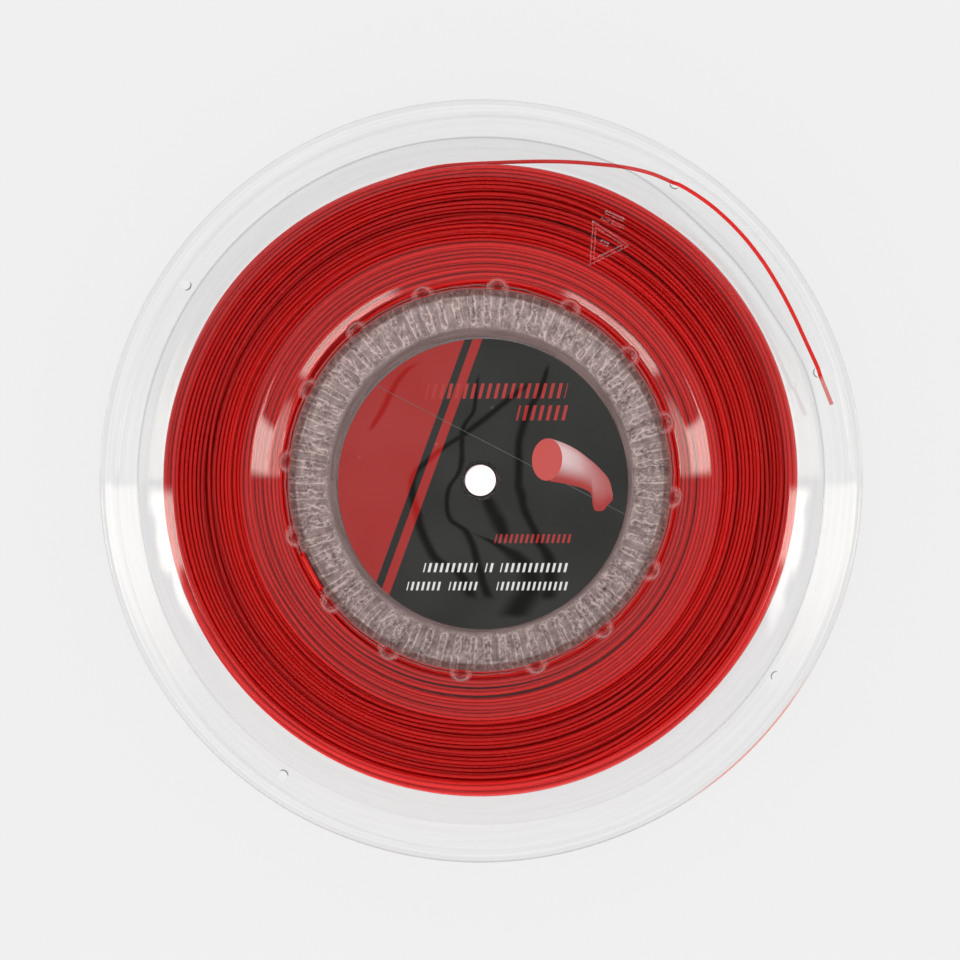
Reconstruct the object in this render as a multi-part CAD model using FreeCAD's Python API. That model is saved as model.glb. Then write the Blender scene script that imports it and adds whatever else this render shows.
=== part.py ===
# String reel: a flat spool of clear moulded plastic holding 200 m of 1.30 mm racket string.
# Two equal dished shells (flange, rim, fluted hub well, hub floor) close over a winding core.
# Frame: millimetres, +Z along the spool axis towards the front label, origin at the centre of
# the spindle bore, halfway between the two flanges. Angles are degrees from +X towards +Y.
import FreeCAD, Part
import math
import os

V = FreeCAD.Vector
ORIGIN, X_AXIS, Z_AXIS = V(0, 0, 0), V(1, 0, 0), V(0, 0, 1)

# ---- shells ---------------------------------------------------------------
REEL_R = 125.0          # outside radius of both rims
REEL_HALF = 14.0        # half of the overall width, at the rim lips
SHEET = 1.0             # shell wall thickness
FLOOR_GAP = 0.05        # half of the air gap between the two hub floors
FLOOR_TOP = 1.20        # outer face of a hub floor
BORE_R = 5.15           # spindle bore
COLLAR_R = 6.15         # outside of the collar round the bore
COLLAR_TOP = 3.70       # height of the collar above the mid-plane
COLLAR_LAP = 0.4        # overlap of floor and collar
CREASE_R = 112.8        # where the web turns up into the rim
LIP_FILLET = 0.35
MIN_FILLET = 0.12       # smallest fillet left on the string-side face

# Outer face of the front shell from the hub floor to the rim lip: radius, z, corner fillet
SECTION = [
    (COLLAR_R - COLLAR_LAP, FLOOR_TOP, 0),
    (51.0, FLOOR_TOP, 1.6),             # foot of the well wall
    (59.35, 8.65, 2.2),                 # top of the well wall
    (60.55, 10.383, 0.75),
    (65.8, 10.383, 12.0),
    (69.6, 10.073, 40.0),
    (78.8, 9.595, 223.0),
    (98.3, 9.595, 25.0),
    (CREASE_R, 11.586, 0.8),
    (121.2, 13.426, 1.6),
    (123.2, REEL_HALF, 1.2),
    (REEL_R, REEL_HALF, 0),
]

FLUTES = 70             # round ribs on the hub well wall
FLUTE_R = 0.75
FLUTE_PROUD = 0.45      # height of a rib above the wall
FLUTE_FOOT_GAP = 1.1    # bare wall below and above each rib, along the slope
FLUTE_HEAD_GAP = 0.6

# ---- ears of the core, and the shell bosses and pockets that take them ----
EARS = 16
EAR_PHASE = 17.1
EAR_CENTRE_R = 63.3
EAR_R = 2.0
EAR_FOOT = 8.5          # distance of an ear's foot from the mid-plane
EAR_HEIGHT = 1.25
POCKET_R = 2.25
POCKET_FOOT, POCKET_TOP = 8.9, 10.05
BOSS_R = 3.0
BOSS_FOOT, BOSS_TOP = 9.7, 11.05

# ---- holes through the flange ---------------------------------------------
CUT_FOOT = 8.0          # start of the hole and slot cutters
HOLE_CUT_HEIGHT = 8.0
SLOT_CUT_HEIGHT = 5.0
HOLE_RING_R = 116.55    # string-locking holes
HOLE_R = 1.65
OUT_HOLE = 56.4         # the string tail goes out through this hole
IN_HOLE = 17.4          # and back in through this one
HOLE_ANGLES = [IN_HOLE] + [OUT_HOLE + 90 * i for i in range(4)]
SLOT_R, SLOT_W = 63.25, 2.7     # slot for the inner end of the string
SLOT_ANGLES = (203.5, 214.0)

# ---- core, wound string and labels ----------------------------------------
CORE_IN, CORE_OUT, CORE_HALF = 61.15, 62.5, 8.75
PACK_IN, PACK_OUT, PACK_HALF = 62.6, 104.6, 8.4
PACK_FILLET = 0.6
LABEL_T = 0.15
LABEL_HOLE_R = 6.6
LABEL_R = 48.2
BACK_LABEL_R = 46.0
# Labels are stuck down slightly off centre; the back one is placed before it is turned over.
FRONT_LABEL_OFFSET = (0.70, -1.10)
BACK_LABEL_OFFSET = (0.20, -0.30)

# ---- free end of the string -----------------------------------------------
STRING_R = 1.30 / 2
STEP_LEN = 3.5          # run of string over which it climbs through a hole
AXIS_GAP = 0.76         # string axis clear of the flange face it lies on
PACK_EXIT_Z = 2.6       # height at which the tail leaves the pack
LEAD_END, LEAD_SPAN = 58.5, 34.0    # the tail climbs to the flange over this span of angle
DROP_START = 15.6       # below this angle the string falls away from the flange
DROP_SLOPE = 0.075
TAIL_START = 95.0
PIVOT_ANGLE = 15.95     # joint of the tail and the straight tip
TIP_AIM_ANGLE = 12.7    # the tip points at the tail curve here
TIP_LEN = 8.4
TIP_FILLET = 0.12
CUP_CLEARANCE = 0.05
# Ring spacing: within this angle of a locking hole, step by this angle
RING_STEPS = [(1.6, 0.24), (4, 0.6), (math.inf, 1.3)]
MIN_RING_STEP = 0.12

# Path of the tail: angle, radius
TAIL_PATH = [
    (12.5, 117.75), (15.0, 117.05), (IN_HOLE, HOLE_RING_R), (22.5, 115.85), (27.5, 115.95),
    (32.5, 116.4), (37.0, 116.95), (42.0, 117.4), (46.0, 117.55), (49.5, 117.5),
    (53.0, 117.15), (OUT_HOLE, HOLE_RING_R), (60.7, 115.4), (64.8, 113.6), (69.5, 111.2),
    (75.2, 108.9), (80.0, 107.3), (84.0, 106.25), (88.0, 105.6), (92.0, 105.36),
    (96.0, 105.32),
]

# ---- inner end of the string ----------------------------------------------
START_ANGLES = (203.45, 214.05)
START_R = 63.55
START_INSET = 0.5       # the loop leans this far towards the axis at its top
START_RISE = 2.2
START_CLEARANCE = 0.08  # between the pack and the feet of the loop
START_STATIONS = [0, 0.06, 0.12, 0.2, 0.3, 0.4, 0.5, 0.6, 0.7, 0.8, 0.88, 0.94, 1.0]


# ---- helpers --------------------------------------------------------------
def save(shape, name):
    shape.exportStep("parts/%s.step" % name)


def polar(radius, angle, z=0.0):
    turn = math.radians(angle)
    return V(radius * math.cos(turn), radius * math.sin(turn), z)


def turned_over(shape):
    """A copy moved to the back of the reel by half a turn about X."""
    copy = shape.copy()
    copy.rotate(ORIGIN, X_AXIS, 180)
    return copy


def circles_at(shape, radius):
    """The flat edges that reach the given radius."""
    return [e for e in shape.Edges
            if abs(e.BoundBox.ZMax - e.BoundBox.ZMin) < 1e-4
            and abs(e.BoundBox.XMax - radius) < 1e-3]


def soften(shape, edges, radius):
    """Fillet the edges, or leave them sharp if the kernel refuses this small finish."""
    try:
        return shape.makeFillet(radius, edges)
    except Exception:
        return shape


def segment(start, end):
    """Straight edge between two (radius, z) points of the XZ plane."""
    return Part.LineSegment(V(start[0], 0, start[1]), V(end[0], 0, end[1])).toShape()


def direction(start, end):
    length = math.hypot(end[0] - start[0], end[1] - start[1])
    return (end[0] - start[0]) / length, (end[1] - start[1]) / length


def cross(first, second):
    """Positive where the second direction turns left of the first."""
    return first[0] * second[1] - first[1] * second[0]


# ---- shell section --------------------------------------------------------
def string_side(section):
    """The string-side face: walls moved in by SHEET, the floor to FLOOR_GAP."""
    lines = []
    for i, (start, end) in enumerate(zip(section, section[1:])):
        shift = SHEET if i else FLOOR_TOP - FLOOR_GAP
        way = direction(start, end)
        lines.append(((start[0] + way[1] * shift, start[1] - way[0] * shift), way))
    points = [(section[0][0], lines[0][0][1], 0)]
    for (p, way), (q, next_way), corner in zip(lines, lines[1:], section[1:]):
        turn = cross(way, next_way)
        along = cross((q[0] - p[0], q[1] - p[1]), next_way) / turn
        # concentric fillets: a left turn has its centre above the outer face
        fillet = corner[2] + SHEET if turn > 0 else max(corner[2] - SHEET, MIN_FILLET)
        points.append((p[0] + along * way[0], p[1] + along * way[1], fillet))
    points.append((section[-1][0], lines[-1][0][1], 0))
    return points


INNER_SECTION = string_side(SECTION)


def filleted_edges(section):
    """Edges along a section, with an arc at each corner."""
    edges = []
    current = section[0]
    for before, corner, after in zip(section, section[1:], section[2:]):
        way, next_way = direction(before, corner), direction(corner, after)
        angle = math.acos(way[0] * next_way[0] + way[1] * next_way[1])
        radius = corner[2]
        cut = radius * math.tan(angle / 2)
        p = (corner[0] - way[0] * cut, corner[1] - way[1] * cut)
        q = (corner[0] + next_way[0] * cut, corner[1] + next_way[1] * cut)
        side = 1 if cross(way, next_way) > 0 else -1
        centre = (p[0] - side * way[1] * radius, p[1] + side * way[0] * radius)
        middle = math.atan2(p[1] - centre[1], p[0] - centre[0]) + side * angle / 2
        m = (centre[0] + radius * math.cos(middle), centre[1] + radius * math.sin(middle))
        edges.append(segment(current, p))
        edges.append(Part.Arc(V(p[0], 0, p[1]), V(m[0], 0, m[1]), V(q[0], 0, q[1])).toShape())
        current = q
    edges.append(segment(current, section[-1]))
    return edges


def section_z(section, radius):
    """Height of a section at a radius, with its corners taken as sharp."""
    for start, end in zip(section, section[1:]):
        if start[0] <= radius <= end[0]:
            slope = (end[1] - start[1]) / (end[0] - start[0])
            return start[1] + slope * (radius - start[0])


# ---- shells ---------------------------------------------------------------
def make_flutes():
    """Round ribs lying on the well wall, their axes sunk below its face."""
    foot, head = SECTION[1], SECTION[2]
    way = direction(foot, head)
    offset = FLUTE_PROUD - FLUTE_R
    wall_len = math.hypot(head[0] - foot[0], head[1] - foot[1])

    def axis_point(along, angle):
        return polar(foot[0] + way[0] * along - way[1] * offset, angle,
                     foot[1] + way[1] * along + way[0] * offset)

    ribs = []
    for i in range(FLUTES):
        angle = (i + 0.5) * 360.0 / FLUTES
        start = axis_point(FLUTE_FOOT_GAP, angle)
        axis = axis_point(wall_len - FLUTE_HEAD_GAP, angle) - start
        ribs.append(Part.makeCylinder(FLUTE_R, axis.Length, start, axis))
    return ribs


def slot_cutter():
    """Curved slot with round ends."""
    inner, outer = SLOT_R - SLOT_W / 2, SLOT_R + SLOT_W / 2
    start, end = SLOT_ANGLES
    middle = (start + end) / 2
    cap = math.degrees(SLOT_W / 2 / SLOT_R)
    arcs = [     # three (radius, angle) points each
        [(inner, start), (inner, middle), (inner, end)],
        [(inner, end), (SLOT_R, end + cap), (outer, end)],
        [(outer, start), (outer, middle), (outer, end)],
        [(inner, start), (SLOT_R, start - cap), (outer, start)],
    ]
    edges = [Part.Arc(*[polar(radius, angle, CUT_FOOT) for radius, angle in arc]).toShape()
             for arc in arcs]
    wire = Part.Wire(Part.__sortEdges__(edges))
    return Part.Face(wire).extrude(V(0, 0, SLOT_CUT_HEIGHT))


def ring_of_studs(radius, foot, top):
    """Cylinders at the ear positions of the front side."""
    return [Part.makeCylinder(radius, top - foot,
                              polar(EAR_CENTRE_R, EAR_PHASE + i * 360.0 / EARS, foot))
            for i in range(EARS)]


def make_shell():
    """The front shell."""
    edges = filleted_edges(SECTION) + filleted_edges(INNER_SECTION)
    edges += [segment(SECTION[i], INNER_SECTION[i]) for i in (0, -1)]
    wire = Part.Wire(Part.__sortEdges__(edges))
    body = Part.Face(wire).revolve(ORIGIN, Z_AXIS, 360).Solids[0]
    body = body.fuse(Part.makeCylinder(COLLAR_R, COLLAR_TOP - FLOOR_GAP, V(0, 0, FLOOR_GAP)))
    body = body.fuse(ring_of_studs(BOSS_R, BOSS_FOOT, BOSS_TOP))
    body = body.fuse(make_flutes())
    body = body.removeSplitter()

    cuts = ring_of_studs(POCKET_R, POCKET_FOOT, POCKET_TOP)
    cuts.append(Part.makeCylinder(BORE_R, 20, V(0, 0, -10)))
    for angle in HOLE_ANGLES:
        foot = polar(HOLE_RING_R, angle, CUT_FOOT)
        cuts.append(Part.makeCylinder(HOLE_R, HOLE_CUT_HEIGHT, foot))
    cuts.append(slot_cutter())
    body = body.cut(cuts).Solids[0]
    return soften(body, circles_at(body, REEL_R), LIP_FILLET).Solids[0]


# ---- core, labels and wound string ----------------------------------------
def make_core():
    """Winding core: a tube with a ring of ears on each end."""
    core = Part.makeCylinder(CORE_OUT, 2 * CORE_HALF, V(0, 0, -CORE_HALF)).cut(
        Part.makeCylinder(CORE_IN, 2 * CORE_HALF + 2, V(0, 0, -CORE_HALF - 1)))
    ears = []
    # the back ears run the other way round, like the pockets of the turned-over shell
    for side, foot in ((1, EAR_FOOT), (-1, -EAR_FOOT - EAR_HEIGHT)):
        for i in range(EARS):
            angle = side * (EAR_PHASE + i * 360.0 / EARS)
            ears.append(Part.makeCylinder(EAR_R, EAR_HEIGHT, polar(EAR_CENTRE_R, angle, foot)))
    return core.fuse(ears).removeSplitter().Solids[0]


def make_label(offset, radius):
    """A thin off-centre disc on the hub floor, with a clearance hole round the collar."""
    disc = Part.makeCylinder(radius, LABEL_T, V(offset[0], offset[1], FLOOR_TOP))
    return disc.cut(Part.makeCylinder(LABEL_HOLE_R, 4))


def make_pack():
    """The wound string as one solid ring, its outer edges rounded."""
    corners = [(PACK_IN, -PACK_HALF), (PACK_OUT, -PACK_HALF), (PACK_OUT, PACK_HALF),
               (PACK_IN, PACK_HALF), (PACK_IN, -PACK_HALF)]
    outline = Part.makePolygon([V(x, 0, z) for x, z in corners])
    pack = Part.Face(outline).revolve(ORIGIN, Z_AXIS, 360).Solids[0]
    return pack.makeFillet(PACK_FILLET, circles_at(pack, PACK_OUT))


# ---- string ends ----------------------------------------------------------
def smooth(t):
    """Ease from 0 to 1, flat at both ends."""
    t = max(0.0, min(1.0, t))
    return t * t * (3 - 2 * t)


def tail_radius(angle):
    """Cubic Hermite curve through TAIL_PATH, slopes taken from the neighbouring points."""
    last = len(TAIL_PATH) - 1
    i = next(k for k in range(last) if TAIL_PATH[k][0] <= angle <= TAIL_PATH[k + 1][0])

    def slope(k):
        before, after = TAIL_PATH[max(k - 1, 0)], TAIL_PATH[min(k + 1, last)]
        return (after[1] - before[1]) / (after[0] - before[0])

    (angle1, radius1), (angle2, radius2) = TAIL_PATH[i:i + 2]
    span = angle2 - angle1
    t = (angle - angle1) / span
    return ((2 * t**3 - 3 * t**2 + 1) * radius1 + (t**3 - 2 * t**2 + t) * span * slope(i)
            + (-2 * t**3 + 3 * t**2) * radius2 + (t**3 - t**2) * span * slope(i + 1))


def tail_point(angle):
    """Point on the tail's axis; the string lies outside the flange between its two holes."""
    radius = tail_radius(angle)
    degree_len = math.radians(1.0) * radius
    inside = section_z(INNER_SECTION, radius) - AXIS_GAP
    outside = section_z(SECTION, radius) + AXIS_GAP
    # climb from the pack to the flange before the first hole
    lead = smooth((angle - LEAD_END) / LEAD_SPAN)
    inside = inside * (1 - lead) + PACK_EXIT_Z * lead
    # 0 inside the flange, 1 outside
    weight = (smooth((OUT_HOLE - angle) * degree_len / STEP_LEN + 0.5)
              * smooth((angle - IN_HOLE) * degree_len / STEP_LEN + 0.5))
    drop = max(0.0, DROP_START - angle) * degree_len * DROP_SLOPE
    return polar(radius, angle, inside * (1 - weight) + outside * weight - drop)


def tube(points):
    """String through the points, lofted through rings square to the path."""
    curve = Part.BSplineCurve()
    curve.interpolate(points)
    rings = []
    for point in points:
        tangent = curve.tangent(curve.parameter(point))[0]
        ring = Part.Circle(point, tangent, STRING_R)
        ring.XAxis = Z_AXIS.cross(tangent).normalize()
        rings.append(Part.Wire([ring.toShape()]))
    return Part.makeLoft(rings, True, True)


def make_tail(pivot):
    """The tail from the pack to the pivot, with a cup for the ball end of the tip."""
    points = []
    angle = TAIL_START
    while angle > PIVOT_ANGLE + MIN_RING_STEP:
        points.append(tail_point(angle))
        to_hole = min(abs(angle - OUT_HOLE), abs(angle - IN_HOLE))
        angle -= next(step for reach, step in RING_STEPS if to_hole < reach)
    points.append(pivot)
    tail = tube(points).cut(Part.makeSphere(STRING_R + CUP_CLEARANCE, pivot))
    # drop any sliver left at the cup
    return max(tail.Solids, key=lambda solid: solid.Volume)


def make_tip(pivot):
    """Straight tip beyond the second hole, with a ball at the pivot."""
    way = (tail_point(TIP_AIM_ANGLE) - pivot).normalize()
    rod = Part.makeCylinder(STRING_R, TIP_LEN, pivot, way)
    tip = rod.fuse(Part.makeSphere(STRING_R, pivot)).removeSplitter().Solids[0]
    end = pivot + way * TIP_LEN
    rim = [e for e in tip.Edges if (e.CenterOfMass - end).Length < 0.05]
    return soften(tip, rim, TIP_FILLET)


def make_start():
    """Inner end of the string, looped out through the slot."""
    first, last = START_ANGLES
    points = []
    for t in START_STATIONS:
        rise = math.sin(math.pi * t)
        z = PACK_HALF + STRING_R + START_CLEARANCE + START_RISE * rise
        points.append(polar(START_R - START_INSET * rise, first + (last - first) * t, z))
    return tube(points)


# ---- build ----------------------------------------------------------------
os.makedirs("parts", exist_ok=True)
front_shell = make_shell()
save(front_shell, "front_shell")
save(turned_over(front_shell), "back_shell")
save(make_core(), "winding_core")
save(make_label(FRONT_LABEL_OFFSET, LABEL_R), "front_label")
save(turned_over(make_label(BACK_LABEL_OFFSET, BACK_LABEL_R)), "back_label")
save(make_pack(), "string_pack")
tip_pivot = tail_point(PIVOT_ANGLE)
save(make_tail(tip_pivot), "string_tail")
save(make_tip(tip_pivot), "string_tip")
save(make_start(), "string_start")
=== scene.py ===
import functools
import math

import bpy
import numpy as np
from mathutils import Matrix, Vector


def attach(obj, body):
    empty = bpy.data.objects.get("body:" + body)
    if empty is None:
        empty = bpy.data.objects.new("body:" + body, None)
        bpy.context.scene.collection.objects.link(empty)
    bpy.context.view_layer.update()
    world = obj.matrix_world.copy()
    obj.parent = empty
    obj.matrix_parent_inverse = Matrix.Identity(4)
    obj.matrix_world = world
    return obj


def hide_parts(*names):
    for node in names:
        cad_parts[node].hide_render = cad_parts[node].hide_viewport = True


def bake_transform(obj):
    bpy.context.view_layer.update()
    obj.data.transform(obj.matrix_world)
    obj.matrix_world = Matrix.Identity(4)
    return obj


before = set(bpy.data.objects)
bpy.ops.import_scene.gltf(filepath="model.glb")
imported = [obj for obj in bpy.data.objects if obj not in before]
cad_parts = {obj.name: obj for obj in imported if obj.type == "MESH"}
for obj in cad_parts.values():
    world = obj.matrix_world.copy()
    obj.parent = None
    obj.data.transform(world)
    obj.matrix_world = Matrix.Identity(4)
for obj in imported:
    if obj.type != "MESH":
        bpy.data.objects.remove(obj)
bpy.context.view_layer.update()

MM = 0.001
TAU = 2 * math.pi
REEL = "reel"

# ---- dimensions shared with the CAD ---------------------------------------------------
REEL_R, REEL_HALF, SHEET = 125.0, 14.0, 1.0      # outer radius, half height, sheet thickness
FLOOR_GAP, FLOOR_TOP = 0.05, 1.20                # under and upper face of the well's floor
BORE_R, COLLAR_R, COLLAR_TOP = 5.15, 6.15, 3.70
WELL_FOOT_R = 51.0
FLUTES, FLUTE_PROUD = 70, 0.45
EARS, EAR_PHASE, EAR_CENTRE_R = 16, 17.1, 63.3   # round bosses at the well's edge
PACK_IN, PACK_OUT, PACK_HALF = 62.6, 104.6, 8.4  # room for the wound string
STRING_D = 1.30
STRING_R = STRING_D / 2
CREASE_R = 112.8
CREASE_DIP = 2.6                                 # how far the crease swings inwards
CREASE_DIP_DEG = (16, 32, 46, 66)                # dip starts, is full, fades, ends
HOLE_RING_R, HOLE_R = 116.55, 1.65
HOLE_ANGLES = [17.4, 56.4, 146.4, 236.4, 326.4]
SLOT_R, SLOT_W, SLOT_DEG = 63.25, 2.7, (203.5, 214.0)
# Outer face of the front moulding: radius, height, fillet
SECTION = [
    (COLLAR_R - 0.4, FLOOR_TOP, 0), (WELL_FOOT_R, FLOOR_TOP, 1.6), (59.35, 8.65, 2.2),
    (60.55, 10.383, 0.75), (65.8, 10.383, 12.0), (69.6, 10.073, 40.0), (78.8, 9.595, 223.0),
    (98.3, 9.595, 25.0), (CREASE_R, 11.586, 0.8), (121.2, 13.426, 1.6),
    (123.2, REEL_HALF, 1.2), (REEL_R, REEL_HALF, 0),
]
TURN_OVER = np.array([1.0, -1.0, -1.0])          # front to back, about X


# ---- mesh helpers ---------------------------------------------------------------------
def new_object(name, verts, faces, material=None, smooth=True, sharp=None):
    """Mesh object from mm vertices, faces outwards; sharp is an edge angle in degrees."""
    mesh = bpy.data.meshes.new(name)
    verts = np.asarray(verts, float)
    # the signed volume tells whether the faces look outwards
    fan = np.array([(f[0], f[k], f[k + 1]) for f in faces for k in range(1, len(f) - 1)])
    first, second, third = verts[fan[:, 0]], verts[fan[:, 1]], verts[fan[:, 2]]
    if np.einsum("ij,ij->i", first, np.cross(second, third)).sum() < 0:
        faces = [tuple(f)[::-1] for f in faces]
    mesh.from_pydata((verts * MM).tolist(), [], faces)
    mesh.update()
    obj = bpy.data.objects.new(name, mesh)
    bpy.context.scene.collection.objects.link(obj)
    if smooth:
        shade_smooth(mesh, sharp)
    if material is not None:
        mesh.materials.append(material)
    return obj


def shade_smooth(mesh, sharp=None):
    mesh.polygons.foreach_set("use_smooth", [True] * len(mesh.polygons))
    if sharp is not None:
        mesh.set_sharp_from_angle(angle=math.radians(sharp))


def register(obj, slot, *replaced):
    """Let a piece ride on the reel in place of CAD pieces; slot is not used."""
    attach(obj, REEL)
    if replaced:
        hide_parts(*replaced)


def even_angles(count):
    return np.arange(count) * TAU / count


def polar(radius, theta, z):
    return np.stack([radius * np.cos(theta), radius * np.sin(theta), z + 0 * theta], axis=-1)


def stitch(start_a, angles_a, start_b, angles_b):
    """Faces between two rings, each given by its first vertex and its angles."""
    count_a, count_b = len(angles_a), len(angles_b)
    faces = []
    if count_a == count_b:
        for i in range(count_a):
            j = (i + 1) % count_a
            faces.append((start_a + i, start_a + j, start_b + j, start_b + i))
        return faces

    def next_angle(angles, i):
        if i >= len(angles):
            return 1e9
        return angles[(i + 1) % len(angles)] + (TAU if i + 1 >= len(angles) else 0)

    i = j = 0
    while i < count_a or j < count_b:
        corner_a, corner_b = start_a + i % count_a, start_b + j % count_b
        if next_angle(angles_a, i) <= next_angle(angles_b, j):
            faces.append((corner_a, start_a + (i + 1) % count_a, corner_b))
            i += 1
        else:
            faces.append((corner_a, start_b + (j + 1) % count_b, corner_b))
            j += 1
    return faces


def loft(rings):
    """Skin over (angles, points) rings, the last joined to the first."""
    starts = np.cumsum([0] + [len(theta) for theta, _ in rings])
    faces = []
    for i in range(len(rings)):
        j = (i + 1) % len(rings)
        faces += stitch(int(starts[i]), rings[i][0], int(starts[j]), rings[j][0])
    return np.concatenate([points for _, points in rings]), faces


def join(parts):
    """Several (verts, faces) as one."""
    faces, base = [], 0
    for part_verts, part_faces in parts:
        faces += [tuple(i + base for i in face) for face in part_faces]
        base += len(part_verts)
    return np.concatenate([verts for verts, _ in parts]), faces


def prism(outline, bottom, top):
    count = len(outline)
    verts = [(x, y, z) for z in (bottom, top) for x, y in outline]
    faces = [tuple(range(count))[::-1], tuple(range(count, 2 * count))]
    for i in range(count):
        j = (i + 1) % count
        faces.append((i, j, count + j, count + i))
    return np.array(verts, float), faces


def tube(points, across, up, radius, sides):
    """Round capped tube along points, with two unit vectors square to the path."""
    angles = np.arange(sides) * 2 * math.pi / sides
    cos, sin = np.cos(angles)[None, :, None], np.sin(angles)[None, :, None]
    rings = points[:, None, :] + radius * (across[:, None, :] * cos + up[:, None, :] * sin)
    count = len(points)
    base = np.arange(count - 1)[:, None] * sides
    j = np.arange(sides)[None, :]
    after = (j + 1) % sides
    quads = np.stack([base + j, base + after, base + sides + after, base + sides + j], axis=-1)
    faces = quads.reshape(-1, 4).tolist()
    faces.append(list(range(sides))[::-1])
    faces.append([(count - 1) * sides + s for s in range(sides)])
    return rings.reshape(-1, 3), faces


def smooth01(value):
    value = np.clip(value, 0.0, 1.0)
    return value * value * (3 - 2 * value)


def smoothed(values, sigma):
    """Gaussian blur of a row of values."""
    reach = int(3 * sigma) + 1
    weights = np.exp(-0.5 * (np.arange(-reach, reach + 1) / sigma) ** 2)
    weights /= weights.sum()
    return np.convolve(np.pad(values, reach, mode="edge"), weights, mode="valid")


def window_max(values, reach):
    padded = np.pad(values, reach, mode="edge")
    return np.max([padded[i:i + len(values)] for i in range(2 * reach + 1)], axis=0)


# ---- the section of the sheet ---------------------------------------------------------
def direction(start, end):
    dx, dz = end[0] - start[0], end[1] - start[1]
    length = math.hypot(dx, dz)
    return dx / length, dz / length


def offset_section(section, thick):
    """The section's lower face: each line moved by thick and met with the next."""
    lines = []
    for start, end in zip(section, section[1:]):
        dx, dz = direction(start, end)
        lines.append(((start[0] + dz * thick, start[1] - dx * thick), (dx, dz)))
    result = [(section[0][0], lines[0][0][1], 0)]
    for i in range(1, len(section) - 1):
        (start, d1), (other, d2) = lines[i - 1], lines[i]
        det = d1[0] * (-d2[1]) - (-d2[0]) * d1[1]
        gap_x, gap_z = other[0] - start[0], other[1] - start[1]
        run = (gap_x * (-d2[1]) - (-d2[0]) * gap_z) / det
        turn = d1[0] * d2[1] - d1[1] * d2[0]
        fillet = section[i][2]
        fillet = fillet + thick if turn > 0 else max(fillet - thick, 0.12)
        result.append((start[0] + run * d1[0], start[1] + run * d1[1], fillet))
    result.append((section[-1][0], lines[-1][0][1], 0))
    return result


def section_points(section, step):
    """Points along a filleted section; step(radius) is the longest gap allowed there."""
    points = [section[0][:2]]

    def run_to(end):
        start = points[-1]
        dx, dz = end[0] - start[0], end[1] - start[1]
        length = math.hypot(dx, dz)
        if length < 1e-6:
            return
        if length / step((end[0] + start[0]) / 2) > 1:
            place = step(start[0])
            while place < length:
                part = place / length
                points.append((start[0] + dx * part, start[1] + dz * part))
                place += step(start[0] + dx * part)
        points.append(end)

    for before, corner, after in zip(section, section[1:], section[2:]):
        d1, d2 = direction(before, corner), direction(corner, after)
        fillet = corner[2]
        angle = math.acos(max(-1.0, min(1.0, d1[0] * d2[0] + d1[1] * d2[1])))
        cut = fillet * math.tan(angle / 2)
        start = (corner[0] - d1[0] * cut, corner[1] - d1[1] * cut)
        sense = 1 if d1[0] * d2[1] - d1[1] * d2[0] > 0 else -1
        centre = (start[0] - sense * d1[1] * fillet, start[1] + sense * d1[0] * fillet)
        run_to(start)
        first = math.atan2(start[1] - centre[1], start[0] - centre[0])
        count = max(2, int(math.ceil(angle / math.radians(14))),
                    int(math.ceil(fillet * angle / step(corner[0]))))
        for k in range(1, count + 1):
            turn = first + sense * angle * k / count
            points.append((centre[0] + fillet * math.cos(turn),
                           centre[1] + fillet * math.sin(turn)))
    run_to(section[-1][:2])
    return points


WALL_DX, WALL_DZ = direction(SECTION[1], SECTION[2])
WALL_LEN = math.hypot(SECTION[2][0] - SECTION[1][0], SECTION[2][1] - SECTION[1][1])


def inner_section():
    """Lower face of the sheet, with the floor's underside held at FLOOR_GAP."""
    inner = offset_section(SECTION, SHEET)
    wall_r, wall_z = SECTION[1][0] + WALL_DZ * SHEET, SECTION[1][1] - WALL_DX * SHEET
    inner[0] = (SECTION[0][0], FLOOR_GAP, 0)
    inner[1] = (wall_r + (FLOOR_GAP - wall_z) * WALL_DX / WALL_DZ, FLOOR_GAP, inner[1][2])
    return inner


INNER = inner_section()


def section_z(section, radius):
    return float(np.interp(radius, [p[0] for p in section], [p[1] for p in section]))


# ---- the clear shells -----------------------------------------------------------------
LIP_ROUND = 0.35
MID_WALL_R = 55.0
# distances from a flute's centre line at which the fluted wall is sampled
FLUTE_OFFSETS = [0, .22, .42, .58, .69, .80, 1.1, 1.6, 2.1]


def fluted_angles():
    offsets = sorted({sign * off for off in FLUTE_OFFSETS for sign in (1, -1)})
    centres = [(k + 0.5) * 2 * math.pi / FLUTES for k in range(FLUTES)]
    return np.array([centre + off / MID_WALL_R for centre in centres for off in offsets])


# (below this radius, angles of a ring) and (below this radius, gap between rings)
RING_ANGLES = [(12, even_angles(96)), (48.5, even_angles(280)), (60.2, fluted_angles()),
               (67.4, even_angles(560)), (math.inf, even_angles(280))]
RING_GAPS = [(48, 7.0), (60.0, 0.95), (67.2, 0.34), (110.4, 1.9), (114.4, 0.45),
             (math.inf, 1.1)]


def look_up(table, radius):
    return next(value for limit, value in table if radius < limit)


def crease_dip(theta):
    degrees = np.degrees(theta) % 360
    start, full, fade, end = CREASE_DIP_DEG
    return (CREASE_DIP * smooth01((degrees - start) / (full - start))
            * smooth01((end - degrees) / (end - fade)))


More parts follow.
